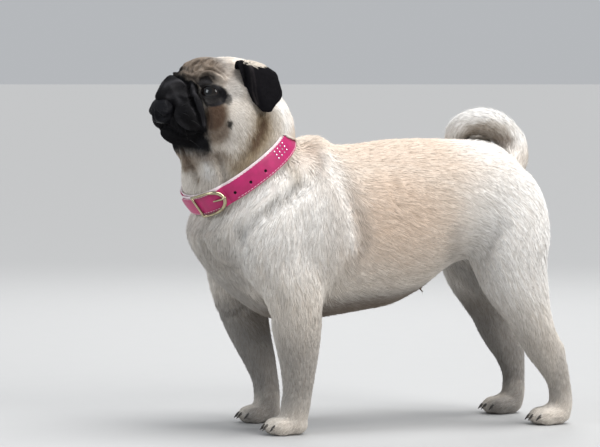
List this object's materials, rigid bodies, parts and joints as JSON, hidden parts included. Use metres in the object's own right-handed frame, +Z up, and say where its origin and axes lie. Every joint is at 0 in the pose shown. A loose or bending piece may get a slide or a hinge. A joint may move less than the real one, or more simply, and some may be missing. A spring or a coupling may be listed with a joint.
{
  "type": "standing pug dog model",
  "caption": "Life-size still model of a standing pug with folded ears, wrinkled short muzzle, curled tail and a buckled collar.",
  "frame": {"origin": "middle of the box round the whole dog, on the floor between its feet", "axes": "+Z up, the dog faces -X, its left side is towards -Y"},
  "size_m": [0.4294, 0.1744, 0.3709],
  "materials": {
    "coat": "short fawn fur, soft and matt",
    "dark_coat": "short black velvety fur",
    "eyeball": "wet and glossy, dark brown",
    "nose_leather": "moist pebbled black skin",
    "collar_leather": "smooth satin leather, magenta pink",
    "buckle_metal": "polished, pale"
  },
  "bodies": {
    "root": {"head": "coat", "neck": "coat", "torso": "coat", "tail": "coat", "fore_leg_left": "coat", "fore_leg_right": "coat", "hind_leg_left": "coat", "hind_leg_right": "coat", "ear_left": "dark_coat", "ear_right": "dark_coat", "eye_left": "eyeball", "eye_right": "eyeball", "nose": "nose_leather", "collar_strap": "collar_leather", "collar_end": "collar_leather", "collar_buckle": "buckle_metal"}
  },
  "joints": []
}
